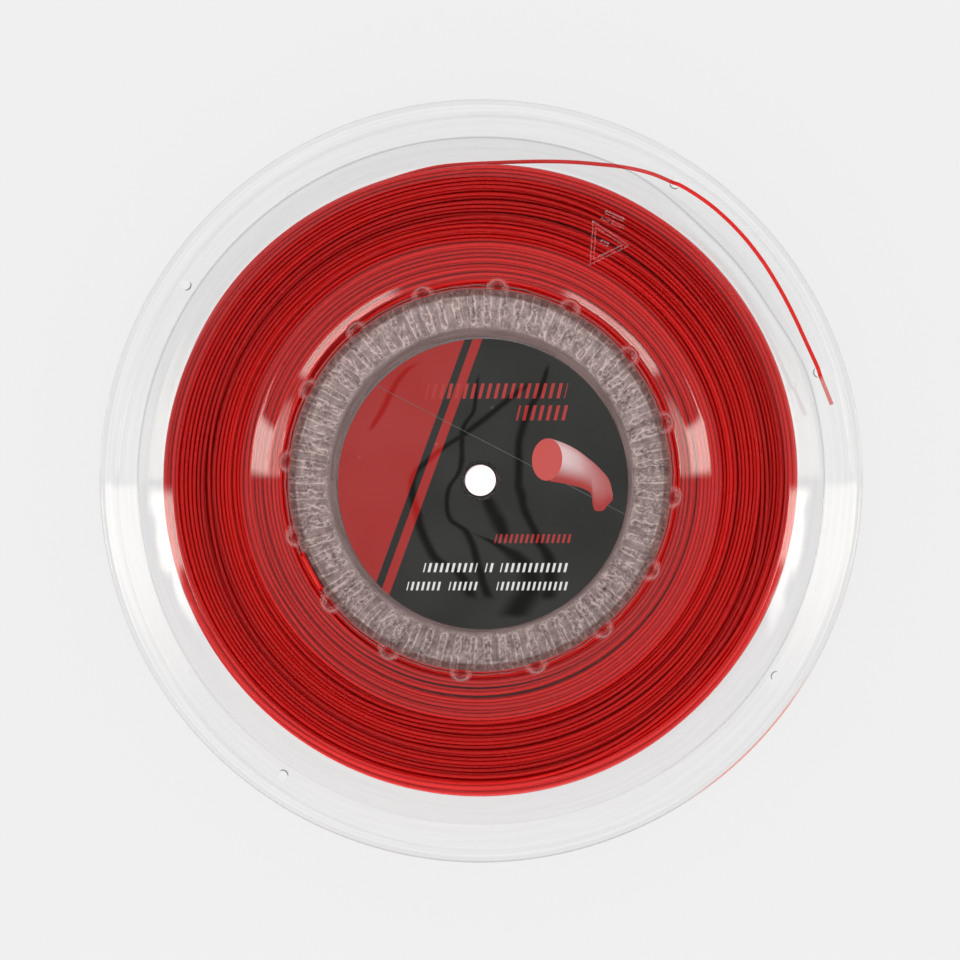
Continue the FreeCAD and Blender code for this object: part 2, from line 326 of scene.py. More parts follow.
def shell_surface(seed):
    """A function that turns a ring of the plain section into one of the moulding."""
    rng = np.random.default_rng(seed)
    # every flute is a little different
    height = rng.uniform(0.75, 1.2, FLUTES)
    tilt = rng.normal(0, 0.0035, FLUTES)
    shift = rng.normal(0, 0.0016, FLUTES)
    top_end = rng.uniform(0.3, 1.3, FLUTES)
    low_end = rng.uniform(0.8, 1.8, FLUTES)
    ear_angles = np.radians(EAR_PHASE + np.arange(EARS) * 360.0 / EARS)
    ear_x, ear_y = EAR_CENTRE_R * np.cos(ear_angles), EAR_CENTRE_R * np.sin(ear_angles)
    wave_counts = [3, 5, 7, 11, 16, 23]
    wave_sizes = np.array([0.06, 0.05, 0.04, 0.03, 0.025, 0.02])
    wave_parts = rng.normal(0, 1, (len(wave_counts), 2)) * wave_sizes[:, None]

    def waves(theta):
        total = np.zeros_like(theta)
        for count, (cos_part, sin_part) in zip(wave_counts, wave_parts):
            total += cos_part * np.cos(count * theta) + sin_part * np.sin(count * theta)
        return total

    def flute_rise(radius, along, theta, outer):
        cell = np.floor(theta * FLUTES / (2 * math.pi))
        k = cell.astype(int) % FLUTES
        centre = (cell + 0.5) * 2 * math.pi / FLUTES
        centre = centre + shift[k] + tilt[k] * (along / WALL_LEN - 0.5)
        proud, width = (FLUTE_PROUD, 0.62) if outer else (0.22, 0.55)
        rise = proud * height[k] * np.exp(-(np.abs(theta - centre) * radius / width) ** 2)
        fade = smooth01((along - low_end[k]) / 0.8)
        return rise * (fade * smooth01((WALL_LEN - top_end[k] - along) / 0.8))

    def surface(ring_r, ring_z, theta, outer):
        radius, z = np.full_like(theta, ring_r), np.full_like(theta, ring_z)
        if 50.0 < ring_r < 60.3:
            along = (ring_r - SECTION[1][0]) * WALL_DX + (ring_z - SECTION[1][1]) * WALL_DZ
            rise = flute_rise(ring_r, along, theta, outer)
            radius = radius - rise * WALL_DZ
            z = z + rise * WALL_DX
        # the well's edge runs in flats from ear to ear
        turns = (theta[:, None] - ear_angles[None, :] + math.pi) % (2 * math.pi) - math.pi
        nearest = np.min(np.abs(turns), axis=1)
        scallop = 0.42 - 0.95 * smooth01(nearest / (math.pi / EARS))
        edge = np.exp(-((ring_r - 60.6) / 1.35) ** 2)
        radius = radius + scallop * edge + 0.10 * waves(theta) * edge
        # bosses over the ears, slightly domed outside
        if 59.8 < ring_r < 67.4:
            x, y = ring_r * np.cos(theta), ring_r * np.sin(theta)
            away = np.sqrt((x[:, None] - ear_x) ** 2 + (y[:, None] - ear_y) ** 2).min(axis=1)
            boss_r = 3.0 if outer else 2.25
            boss = 0.6 * smooth01((boss_r + 0.1 - away) / 0.34)
            if outer:
                boss = boss + 0.12 * np.maximum(0, 1 - (away / boss_r) ** 2)
            z = z + boss * smooth01((ring_r - 60.5) / 0.5)
        # slow waviness of the moulding, only on the web and rim
        z = z + smooth01((ring_r - 66) / 8) * 0.014 * waves(theta)
        # the crease swings inwards where the free end lies on the rim
        radius = radius - crease_dip(theta) * np.exp(-((ring_r - CREASE_R) / 3.2) ** 2)
        if ring_r > 121:
            radius = radius + 0.05 * waves(theta) * smooth01((ring_r - 121) / 3)
        return radius, z

    return surface


def shell_rings(surface):
    """Rings up the collar, out over the outer face, round the lip and back inside."""
    rings = []

    def add(radius, z, outer=None):
        theta = look_up(RING_ANGLES, radius)
        if outer is not None:
            radius, z = surface(radius, z, theta, outer)
        rings.append((theta, polar(radius, theta, z)))

    for radius, z in [
        (BORE_R, COLLAR_TOP - 0.15), (BORE_R + 0.15, COLLAR_TOP), (COLLAR_R - 0.2, COLLAR_TOP),
        (COLLAR_R, COLLAR_TOP - 0.2), (COLLAR_R, FLOOR_TOP + 0.35),
        (COLLAR_R + 0.1, FLOOR_TOP + 0.1), (COLLAR_R + 0.35, FLOOR_TOP),
    ]:
        add(radius, z)

    def face_points(section):
        points = section_points(section, lambda radius: look_up(RING_GAPS, radius))
        return [p for p in points if p[0] > COLLAR_R + 0.6]

    for radius, z in face_points(SECTION)[:-1]:
        add(radius, z, True)
    lip_r = REEL_R - LIP_ROUND
    add(lip_r, REEL_HALF, True)
    for angle in np.radians((30, 60, 90)).tolist():
        add(lip_r + LIP_ROUND * math.sin(angle),
            REEL_HALF - LIP_ROUND + LIP_ROUND * math.cos(angle), True)
    for angle in np.radians((0, 30, 60, 90)).tolist():
        add(lip_r + LIP_ROUND * math.cos(angle),
            REEL_HALF - SHEET + LIP_ROUND - LIP_ROUND * math.sin(angle), False)
    for radius, z in face_points(INNER)[::-1][1:]:
        if radius < REEL_R - 0.6:
            add(radius, z, False)
    add(BORE_R + 0.1, FLOOR_GAP)
    add(BORE_R, FLOOR_GAP + 0.1)
    return rings


def slot_outline():
    """The curved slot with round ends."""
    start, end = [math.radians(degrees) for degrees in SLOT_DEG]
    half = SLOT_W / 2
    outline = []
    for side, begin, stop, turn in ((half, start, end, 0), (-half, end, start, math.pi)):
        for angle in np.linspace(begin, stop, 13):
            outline.append(((SLOT_R + side) * math.cos(angle),
                            (SLOT_R + side) * math.sin(angle)))
        cap_x, cap_y = SLOT_R * math.cos(stop), SLOT_R * math.sin(stop)
        for angle in np.linspace(stop + turn, stop + turn + math.pi, 11)[1:-1]:
            outline.append((cap_x + half * math.cos(angle), cap_y + half * math.sin(angle)))
    return outline


def cut_holes(shell, side):
    """Cut the string holes and the slot, and bake the result into the mesh."""
    cutters = []
    for degrees in HOLE_ANGLES:
        turn = math.radians(degrees)
        hole_x, hole_y = HOLE_RING_R * math.cos(turn), HOLE_RING_R * math.sin(turn)
        circle = [(hole_x + HOLE_R * math.cos(angle), hole_y + HOLE_R * math.sin(angle))
                  for angle in np.linspace(0, 2 * math.pi, 33)[:-1]]
        cutters.append(prism(circle, bottom=8.0, top=16.0))
    cutters.append(prism(slot_outline(), bottom=8.0, top=13.0))
    verts, faces = join(cutters)
    if side < 0:
        verts = verts * TURN_OVER
    cutter = new_object(shell.name + "_cut", verts, faces, smooth=False)
    holes = shell.modifiers.new("holes", "BOOLEAN")
    holes.operation = "DIFFERENCE"
    holes.object = cutter
    holes.solver = "MANIFOLD"
    depsgraph = bpy.context.evaluated_depsgraph_get()
    mesh = bpy.data.meshes.new_from_object(shell.evaluated_get(depsgraph))
    shell.modifiers.clear()
    shell.data = mesh
    bpy.data.objects.remove(cutter)
    shade_smooth(mesh, sharp=50)


def make_shell(name, side, seed, material):
    """side is 1 for the front; -1 is the same moulding turned over."""
    verts, faces = loft(shell_rings(shell_surface(seed)))
    if side < 0:
        verts = verts * TURN_OVER
    shell = new_object(name, verts, faces)
    cut_holes(shell, side)
    shell.data.materials.clear()
    shell.data.materials.append(material)
    return shell


# ---- shader helpers -------------------------------------------------------------------
class Value:
    """A shader output. Arithmetic on it adds math nodes, for single numbers only."""

    def __init__(self, net, socket):
        self.net = net
        self.socket = socket

    def __add__(self, other):
        return self.net.math("ADD", self, other)

    def __radd__(self, other):
        return self.net.math("ADD", other, self)

    def __sub__(self, other):
        return self.net.math("SUBTRACT", self, other)

    def __rsub__(self, other):
        return self.net.math("SUBTRACT", other, self)

    def __mul__(self, other):
        return self.net.math("MULTIPLY", self, other)

    def __truediv__(self, other):
        return self.net.math("DIVIDE", self, other)

    def __abs__(self):
        return self.net.math("ABSOLUTE", self)

    def max(self, other):
        return self.net.math("MAXIMUM", self, other)

    def min(self, other):
        return self.net.math("MINIMUM", self, other)

    def map_range(self, kind, start, end, out):
        inputs = dict(enumerate((self, start, end, *out)))
        return self.net.value("ShaderNodeMapRange", inputs, interpolation_type=kind)

    def ease(self, start, end, out=(0.0, 1.0)):
        """Smooth step from out[0] at start to out[1] at end; start may be the larger."""
        return self.map_range("SMOOTHSTEP", start, end, out)

    def linear(self, start, end, out=(0.0, 1.0)):
        return self.map_range("LINEAR", start, end, out)

    def window(self, start, full, fade, end):
        """0 up to start, 1 from full to fade, 0 again from end."""
        return self.ease(start, full) * self.ease(end, fade)

    def split(self):
        node = self.net.node("ShaderNodeSeparateXYZ", {0: self})
        return [Value(self.net, socket) for socket in node.outputs]

    def curve(self, points):
        """Smooth curve through (in, out) points, held level past both ends."""
        first, last = points[0][0], points[-1][0]
        low, high = min(p[1] for p in points), max(p[1] for p in points) + 1e-6
        knots = [((at - first) / (last - first), (out - low) / (high - low))
                 for at, out in points]
        node = self.net.node("ShaderNodeFloatCurve", {1: self.linear(first, last)})
        curve = node.mapping.curves[0]
        curve.points[0].location, curve.points[1].location = knots[0], knots[-1]
        for knot in knots[1:-1]:
            curve.points.new(*knot)
        node.mapping.update()
        return Value(self.net, node.outputs[0]).linear(0.0, 1.0, out=(low, high))


class Net:
    """A node tree under construction."""

    def __init__(self, tree, output_kind):
        self.tree = tree
        tree.nodes.clear()
        self.output = self.node(output_kind)

    def node(self, kind, inputs=None, **properties):
        node = self.tree.nodes.new(kind)
        for name, setting in properties.items():
            setattr(node, name, setting)
        for key, value in (inputs or {}).items():
            self.put(node.inputs[key], value)
        return node

    def put(self, socket, value):
        if isinstance(value, Value):
            self.tree.links.new(value.socket, socket)
        elif isinstance(value, tuple):
            missing = len(socket.default_value) - len(value)
            socket.default_value = value + (1.0,) * missing
        else:
            socket.default_value = value

    def value(self, kind, inputs=None, output=0, **properties):
        return Value(self, self.node(kind, inputs, **properties).outputs[output])

    def finish(self, shader):
        self.put(self.output.inputs[0], shader)

    def math(self, operation, *values, clamp=False):
        return self.value("ShaderNodeMath", dict(enumerate(values)),
                          operation=operation, use_clamp=clamp)

    def length(self, x, y):
        return self.math("SQRT", x * x + y * y)

    def coords(self, kind="Object"):
        return self.value("ShaderNodeTexCoord", output=kind)

    def vector(self, x, y, z):
        return self.value("ShaderNodeCombineXYZ", {0: x, 1: y, 2: z})

    def grey(self, level):
        return self.vector(level, level, level)

    def vector_math(self, operation, first, second):
        return self.value("ShaderNodeVectorMath", {0: first, 1: second}, operation=operation)

    def tint(self, color, factor):
        return self.vector_math("MULTIPLY", color, factor)

    def mix(self, amount, first, second):
        return self.value("ShaderNodeMix", {0: amount, 6: first, 7: second}, output=2,
                          data_type="RGBA")

    def noise(self, place, scale=1.0, detail=2.0, rough=0.5):
        return self.value("ShaderNodeTexNoise", {"Vector": place, "Scale": scale,
                                                 "Detail": detail, "Roughness": rough})

    def bump(self, height, distance, normal=None):
        inputs = {"Strength": 1.0, "Distance": distance, "Height": height}
        if normal is not None:
            inputs["Normal"] = normal
        return self.value("ShaderNodeBump", inputs)


def new_material(name):
    material = bpy.data.materials.new(name)
    material.use_nodes = True
    return material, Net(material.node_tree, "ShaderNodeOutputMaterial")


def largest(values):
    return functools.reduce(Value.max, values)


def along(x, y, degrees):
    """Distance along a direction."""
    return x * math.cos(math.radians(degrees)) + y * math.sin(math.radians(degrees))


def across(x, y, degrees):
    """Distance square to a direction, to its left."""
    return y * math.cos(math.radians(degrees)) - x * math.sin(math.radians(degrees))


# ---- clear plastic --------------------------------------------------------------------
def flute_painted_light(net, turn, climb, radius):
    """Painted light and shade of the crumpled well wall: each flute is a pale U of painted
    highlight, with painted grey shade between.

    turn counts flutes round the wall and climb runs 0 to 1 up it. Also gives the wobble.
    """
    def grain(round_scale, up_scale, layer, detail, rough):
        place = net.vector(turn * round_scale, climb * up_scale, layer)
        return net.noise(place, detail=detail, rough=rough)

    wobble = grain(1.1, 2.2, layer=1.0, detail=3.0, rough=0.6) - 0.5
    crush = grain(0.55, 1.3, layer=3.0, detail=2.0, rough=0.5)
    fine = grain(4.6, 8.0, layer=5.0, detail=4.0, rough=0.75)
    blotch = grain(1.3, 2.8, layer=9.0, detail=2.0, rough=0.6)
    streak = grain(7.0, 0.8, layer=2.0, detail=2.0, rough=0.6)

    # the U: straight sides, closed round at the foot
    part = net.math("FRACT", turn + wobble * crush.ease(0.42, 0.62, out=(0.28, 1.2)))
    sideways = abs(part - 0.5)
    below = (0.26 - climb).max(0.0) * 2.2
    from_u = net.length(sideways, below) - 0.20
    outline = abs(from_u).ease(0.080, 0.015)
    inside = from_u.ease(0.04, -0.04)

    # about a third of the flutes carry a diagonal, leaning either way
    cell = net.math("FLOOR", turn)
    chance = net.value("ShaderNodeTexWhiteNoise", {"W": cell}, noise_dimensions="1D")
    way = (net.math("GREATER_THAN", chance, 0.5) - 0.5) * 2.0
    diagonal = abs(turn - cell - 0.5 - way * ((climb - 0.35) * 1.3))
    chosen = net.math("FRACT", chance * 7.31).ease(0.66, 0.72)
    diagonal = diagonal.ease(0.10, 0.02) * chosen

    strength = blotch.ease(0.38, 0.62, out=(0.45, 1.15))
    level = 0.38 + outline.max(diagonal * 0.8) * strength * 0.46
    level = level + (streak - 0.5) * 0.60
    # crumpled specks of painted highlight and shade sit on and inside the pale U, not between
    crumpled = crush.ease(0.44, 0.60, out=(0.25, 1.0))
    speck = inside.max(outline.max(crumpled)) * (fine - 0.49)
    level = level + (speck.max(0.0) * 3.8 + speck.min(0.0) * 1.5)
    level = level + (blotch - 0.5) * 0.7
    # brighter painted flecks near the top, then darker past the wall's edge
    level = level + fine.ease(0.60, 0.70) * (climb.ease(0.72, 0.90) * 0.55)
    return level * radius.ease(60.1, 60.9, out=(1.0, 0.34)), wobble


def well_look(net, radius, theta, color, rough, normal):
    """Ears, fluted wall, foot band and collar, common to both shells, with painted light and
    shade on the wall, the foot band, the well's edge and the collar.
    """
    # ears: the plastic there is slightly hazy
    pitch = 2 * math.pi / EARS
    ear_turn = theta - math.radians(EAR_PHASE)
    ear_turn = ear_turn - net.math("ROUND", ear_turn / pitch) * pitch
    ear_x = radius * net.math("COSINE", ear_turn) - EAR_CENTRE_R
    ear_y = radius * net.math("SINE", ear_turn)
    from_ear = net.length(ear_x, ear_y)
    ear = from_ear.ease(3.5, 2.2) * radius.ease(60.0, 61.0)
    crest = radius.window(60.6, 61.6, 64.0, 65.4)
    rough = rough.max((crest * 0.11).max(ear * 0.15))
    color = net.mix(crest, color, (0.84, 0.72, 0.71))
    color = net.mix(ear * 0.8, color, (0.88, 0.78, 0.77))

    # the bands of painted light and shade, by radius and distance from the ears
    edge_r = 62.6 + abs(ear_turn) * 1.2
    turn = theta * (FLUTES / (2 * math.pi)) + 0.5
    level, wobble = flute_painted_light(net, turn, (radius - 50.0) / 10.5, radius)
    wall = (radius + wobble * 1.6).ease(50.2, 51.2) * (radius - edge_r).ease(0.10, -0.15)
    chord_shade = abs(radius - edge_r - 0.30).ease(0.24, 0.05) * from_ear.ease(2.2, 3.0)
    foot = radius.window(47.5, 48.2, 50.5, 51.3)
    paint = net.mix(net.math("MULTIPLY", level, 1.0, clamp=True),
                    (0.10, 0.052, 0.048), (0.93, 0.76, 0.73))
    redder = net.tint(paint, net.vector(1.0, 0.70, 0.68))
    paint = net.mix(radius.ease(60.3, 61.2), paint, redder)
    wave = net.noise(net.vector(turn * 0.25, radius * 0.8, 4.0), detail=2.0, rough=0.5)
    # painted shade on the foot band, in soft waves
    foot_shade = net.mix(wave.ease(0.35, 0.65), (0.31, 0.228, 0.218), (0.40, 0.302, 0.290))
    paint = net.mix(foot, paint, foot_shade)
    # painted shade in a band along the well's edge
    paint = net.mix(chord_shade, paint, (0.45, 0.27, 0.26))

    # painted highlights: pale rims round the ears, and a pale crinkled edge line from ear to
    # ear
    rim_highlight = abs(from_ear - 2.75).ease(0.30, 0.08) * radius.ease(62.6, 63.4)
    ripple = net.noise(net.vector(turn * 0.8, 0.0, 8.0), detail=3.0, rough=0.6)
    crinkle_r = 63.55 + (ripple - 0.5) * 1.5
    edge_highlight = abs(radius - (crinkle_r + 0.38)).ease(0.26, 0.10) * from_ear.ease(2.6, 3.2)
    rim_highlight = rim_highlight.max(edge_highlight * 0.75)
    paint = net.mix(rim_highlight * 0.8, paint, (0.80, 0.50, 0.47))

    # how opaque each band is
    cover = (wall * 0.56).max((foot * 0.42).max((chord_shade * 0.34).max(rim_highlight * 0.22)))
    color = net.mix(cover.ease(0.0, 0.22), color, paint)
    rough = rough.max(cover * 0.35)
    normal = net.bump(level * wall, distance=0.00022, normal=normal)
    # painted shade: the clear collar is darkened almost to black
    color = net.mix(radius.ease(7.0, 6.3), color, (0.10, 0.085, 0.085))    # dark collar
    return color, rough, 1.0 - cover, normal, crinkle_r


def flange_shade(net, radius, theta, y, color):
    """The sloping flange carries painted shade, a touch greyer, most of all at the top, and
    flow marks.
    """
    white = (1.0, 1.0, 1.0)
    shade = net.grey((y / radius).ease(-0.8, 0.8, out=(0.995, 0.945)))
    shade = net.mix(radius.window(104.8, 105.6, 112.8, 113.4), white, shade)
    color = net.tint(color, shade)
    flow = net.noise(net.vector(theta * 2.5, radius * 0.55, 6.0), detail=3.0, rough=0.6)
    flow = net.grey(flow.ease(0.38, 0.62, out=(0.972, 1.0)))
    flow = net.mix(radius.ease(104.8, 106.0), white, flow)
    return net.tint(color, flow)


# strength of the painted shade of the crease line by angle in degrees
CREASE_LIT = [(-180, 0.75), (-140, 0.6), (-110, 0.12), (-70, 0.25), (-40, 0.9), (0, 1.0),
              (90, 1.3), (180, 0.75)]


def painted_dark_lines(net, radius, theta, x, y, crinkle_r, color):
    """Painted shade as thin dark lines on the front, at the crease, the lip, the crinkled well
    edge and the string holes, and one painted red glint on the lip.
    """
    black = (1.0, 0.0)
    degrees = theta * (180 / math.pi)
    dip = degrees.window(*CREASE_DIP_DEG) * CREASE_DIP
    crease = abs(radius + dip - CREASE_R).ease(0.10, 0.48, out=black)
    line = crease * degrees.curve(CREASE_LIT) * 0.20
    low = (y / radius).ease(-0.55, -0.95)
    line = line.max(radius.ease(124.35, 124.7) * low.linear(0.0, 1.0, out=(0.10, 0.26)))
    line = line.max(abs(radius - 122.3).ease(0.1, 0.5, out=black) * 0.03)
    line = line.max(abs(radius - crinkle_r).ease(0.26, 0.10) * 0.34)
    # painted shade round the string holes, on the side towards the axis
    for hole_deg in HOLE_ANGLES:
        cos, sin = math.cos(math.radians(hole_deg)), math.sin(math.radians(hole_deg))
        hole_x, hole_y = x - HOLE_RING_R * cos, y - HOLE_RING_R * sin
        from_edge = abs(net.length(hole_x, hole_y) - (HOLE_R + 0.05))
        ring = from_edge.ease(0.10, 0.34, out=black)
        inward = hole_x * -cos + hole_y * -sin
        line = line.max(ring * inward.ease(0.45, 1.5) * 0.80)
    color = net.mix(line, color, (0.0, 0.0, 0.0))
    glint = degrees.window(-58.0, -50.0, -38.0, -30.0) * radius.ease(124.3, 124.6)
    return net.mix(glint, color, (1.0, 0.42, 0.36))


MARK_PLACE, MARK_TURN = (41.1, 77.6), -24
# bars of the mark: centre x, y, width, height
MARK_BARS = [(-2.9, 7.6, 2.4, 0.8), (1.6, 7.6, 4.2, 0.8), (-0.6, 9.8, 6.2, 0.8),
             (0.0, 0.3, 2.4, 0.8)]


def moulding_mark(net, x, y, normal):
    """A plain raised triangle with bars, on the web."""
    dx, dy = x - MARK_PLACE[0], y - MARK_PLACE[1]
    mark_x, mark_y = along(dx, dy, MARK_TURN), across(dx, dy, MARK_TURN)
    triangle = largest([along(mark_x, mark_y, degrees) for degrees in (80, 200, 320)])
    shapes = [abs(triangle - 3.6).ease(0.35, 0.75, out=(1.0, 0.0))]
    for bar_x, bar_y, width, height in MARK_BARS:
        outside = (abs(mark_x - bar_x) - width / 2).max(abs(mark_y - bar_y) - height / 2)
        shapes.append(outside.ease(-0.15, 0.25, out=(1.0, 0.0)))
    return net.bump(largest(shapes), distance=0.0006, normal=normal)


def clear_material(name, color, side=0):
    """Clear moulded plastic; side 1 or -1 adds what belongs to the front or back shell."""
    material, net = new_material(name)
    place = net.coords()
    # faint smears and rubbed patches
    smear = net.noise(place, scale=38.0, detail=3.0, rough=0.6)
    rough = smear.ease(0.55, 0.80, out=(0.0, 0.012))
    clear = 1.0
    unevenness = net.noise(place, scale=45.0, detail=1.0, rough=0.4)
    normal = net.bump(unevenness, distance=0.00003)
    if side:
        x, y, _ = place.split()
        x, y = x * 1000.0, y * (1000.0 * side)
        radius = net.length(x, y)
        theta = net.math("ARCTAN2", y, x)
        color, rough, clear, normal, crinkle_r = well_look(
            net, radius, theta, color, rough, normal)
    if side > 0:
        color = flange_shade(net, radius, theta, y, color)
        color = painted_dark_lines(net, radius, theta, x, y, crinkle_r, color)
        normal = moulding_mark(net, x, y, normal)
    plastic = net.value("ShaderNodeBsdfPrincipled", {
        "Base Color": color, "Roughness": rough, "Transmission Weight": clear,
        "Normal": normal, "IOR": 1.5})
    # shadow and diffuse rays pass straight through
    rays = net.node("ShaderNodeLightPath")
    passing = Value(net, rays.outputs["Is Shadow Ray"]).max(
        Value(net, rays.outputs["Is Diffuse Ray"]))
    see_through = net.value("ShaderNodeBsdfTransparent", {0: (0.94, 0.94, 0.94)})
    net.finish(net.value("ShaderNodeMixShader", {0: passing, 1: plastic, 2: see_through}))
    return material


# ---- string material ------------------------------------------------------------------
def string_material(name, base, dark, gloss=0.3, tip=None):
    """Drawn monofilament; tip=(point, direction, colour) fades the end to a paler tone,
    painted haze of the shell's reflection over it.
    """
    material, net = new_material(name)
    place = net.coords()
    x, y, z = place.split()
    radius = net.length(x, y)
    # tone differs a little from one turn to the next and drifts slowly round the reel
    turns = net.noise(net.vector(radius * 620.0, x * 6.0, y * 6.0 + z * 120.0),
                      detail=1.0, rough=0.4)
    color = net.mix(turns.ease(0.34, 0.66), dark, base)
    if tip is not None:
        (tip_x, tip_y), (dir_x, dir_y), pale = tip
        past = (x * 1000.0 - tip_x) * dir_x + (y * 1000.0 - tip_y) * dir_y
        near = abs(x * 1000.0 - tip_x).ease(12.0, 10.0)
        # painted reflection haze: the tip turns paler where the shell lies over it
        color = net.mix(past.ease(-1.6, 0.4) * near, color, pale)
    else:
        # painted light: brighter near the hub and round the outside, most of all towards the
        # bottom
        mm_radius = radius * 1000.0
        low = (y / radius).ease(0.3, -0.8, out=(0.14, 0.60))
        painted_light_gain = mm_radius.ease(86.0, 82.0, out=(1.0, 1.20)) + mm_radius.ease(97.0, 102.0) * low
        color = net.tint(color, net.grey(painted_light_gain))
    rough = net.noise(place, scale=90.0, detail=1.0, rough=0.4)
    net.finish(net.value("ShaderNodeBsdfPrincipled", {
        "Base Color": color, "IOR": 1.5, "Specular IOR Level": 0.30,
        "Roughness": rough.ease(0.3, 0.75, out=(gloss - 0.03, gloss + 0.04))}))
    return material


CLEAR_FRONT = clear_material("clear_front", (0.995, 0.995, 0.995), 1)
CLEAR_BACK = clear_material("clear_back", (0.995, 0.995, 0.995), -1)
CLEAR_CORE = clear_material("clear_core", (0.84, 0.76, 0.755))
STRING = string_material("red_string", base=(0.62, 0.005, 0.004), dark=(0.47, 0.003, 0.003))

# ---- wound string ---------------------------------------------------------------------
TURN_SAMPLES = 180
SAMPLE_DEG = 360.0 / TURN_SAMPLES
END_ANGLE = 95.0               # where the string leaves the pack, degrees
WIND_PITCH = 1.45
MOST_TURNS, LEAST_TURNS = 420, 300
HEIGHT_BANDS = 14              # bands across the coil when looking for hidden turns
COIL_SIDES = 9
GROUP_SAMPLES = 9800           # most samples in one coil object


def traverse(rng, limit):
    """Height of the string as the guide runs to and fro, one row for each turn."""
    total = MOST_TURNS * TURN_SAMPLES
    drift = smoothed(rng.normal(0, 1, total), 60)
    drift /= drift.std()
    heights = []
    z, way, turn_back, hold = limit, -1, limit, 30
    for i in range(total):
        if hold > 0:
            hold -= 1
        else:
            z += way * WIND_PITCH * (1 + 0.10 * drift[i]) / TURN_SAMPLES
            if way * z >= turn_back:
                z = way * turn_back
                way = -way
                hold = int(rng.uniform(0.0, 0.2) * TURN_SAMPLES)
                turn_back = limit - abs(rng.normal(0, 0.30))
        heights.append(z)
    return smoothed(np.array(heights), 7).reshape(-1, TURN_SAMPLES)


def wind(seed=5):
    """Lay turn on turn; gives angles, radii and heights of the string's centre line."""
    limit = PACK_HALF - STRING_R - 0.02
    z = traverse(np.random.default_rng(seed), limit)
    radius = np.zeros_like(z)
    base = PACK_IN + STRING_R

    def resting(heights, k):
        """Radius at which turn k rests on the turns below it."""
        gap = np.abs(heights[None, :] - z[:k])
        lift = np.sqrt(np.maximum(STRING_D ** 2 - gap ** 2, 0))
        held = np.where(gap < STRING_D, radius[:k] + lift, base)
        return np.maximum(held.max(axis=0), base)

    for k in range(len(z)):
        if k:
            # let the string roll towards the nearest groove
            slope = resting(z[k] + 0.12, k) - resting(z[k] - 0.12, k)
            roll = np.clip(-slope / 0.24 * 0.22, -0.22, 0.22)
            z[k] = np.clip(z[k] + smoothed(roll, 5), -limit, limit)
            rest = resting(z[k], k)
        else:
            rest = np.full(TURN_SAMPLES, base)
        radius[k] = smoothed(window_max(rest, 1), 2.2)
        if radius[k].mean() > PACK_OUT - STRING_R + 0.10 and k > LEAST_TURNS:
            break
    radius = smoothed(radius[:k + 1].ravel(), 2.5)
    z = smoothed(z[:k + 1].ravel(), 2.0)
    back = len(z) - 1 - np.arange(len(z))
    return np.radians(END_ANGLE + back * 360.0 / TURN_SAMPLES), radius, z


def bulge(radius, theta):
    """How far the coil bulges to one side."""
    part = np.clip((radius - PACK_IN) / (PACK_OUT - PACK_IN), 0, 1.1)
    return 0.95 * part ** 1.5 * np.cos(theta - math.radians(128.0))


coil_theta, coil_r, coil_z = wind()
column = np.arange(len(coil_r)) % TURN_SAMPLES
band = ((coil_z + PACK_HALF) / (2 * PACK_HALF) * HEIGHT_BANDS).astype(int)
band = np.clip(band, 0, HEIGHT_BANDS - 1)


def coil_surface():
    """Outer radius by angle and height: the lowest of each cell and its neighbours."""
    outer = np.zeros((TURN_SAMPLES, HEIGHT_BANDS))
    np.maximum.at(outer, (column, band), coil_r)
    outer[outer == 0] = coil_r.max()
    beside = np.minimum(np.roll(outer, 1, axis=0), np.roll(outer, -1, axis=0))
    lowest = np.minimum(beside, outer)
    padded = np.pad(lowest, ((0, 0), (1, 1)), mode="edge")
    return np.minimum(np.minimum(padded[:, :-2], padded[:, 2:]), lowest)


surface_r = coil_surface()


def visible_runs():
    """(start, end) of the stretches near any face of the coil, long ones cut up."""
    face = PACK_HALF - STRING_R - 2.35
    seen = ((coil_z > face) | (coil_z < -face) | (coil_r > surface_r[column, band] - 1.5)
            | (coil_r < PACK_IN + STRING_R + 0.9))
    # each run grows a little so that its ends stay hidden
    grown = window_max(seen.astype(float), 3) > 0
    runs, start = [], None
    for i, shown in enumerate(np.append(grown, False)):
        if shown and start is None:
            start = i
        if not shown and start is not None:
            if i - start > 3:
                runs.append((start, i))
            start = None
    pieces, longest = [], 6 * TURN_SAMPLES
    for start, end in runs:
        while end - start > longest:
            pieces.append((start, start + longest + 1))
            start += longest
        pieces.append((start, end))
    return pieces


def grouped(runs):
    groups, count = [[]], 0
    for start, end in runs:
        if count + (end - start) > GROUP_SAMPLES:
            groups.append([])
            count = 0
        groups[-1].append((start, end))
        count += end - start
    return groups


def coil_tube(start, end):
    theta, radius = coil_theta[start:end], coil_r[start:end]
    points = polar(radius + bulge(radius, theta), theta, coil_z[start:end])
    up = np.tile([0.0, 0.0, 1.0], (len(theta), 1))
    return tube(points, polar(1.0, theta, 0.0), up, STRING_R - 0.035, COIL_SIDES)


for number, group in enumerate(grouped(visible_runs()), 1):
    verts, faces = join([coil_tube(start, end) for start, end in group])
    register(new_object("coil_%02d" % number, verts, faces, STRING, sharp=60),
             "string", "string_pack")


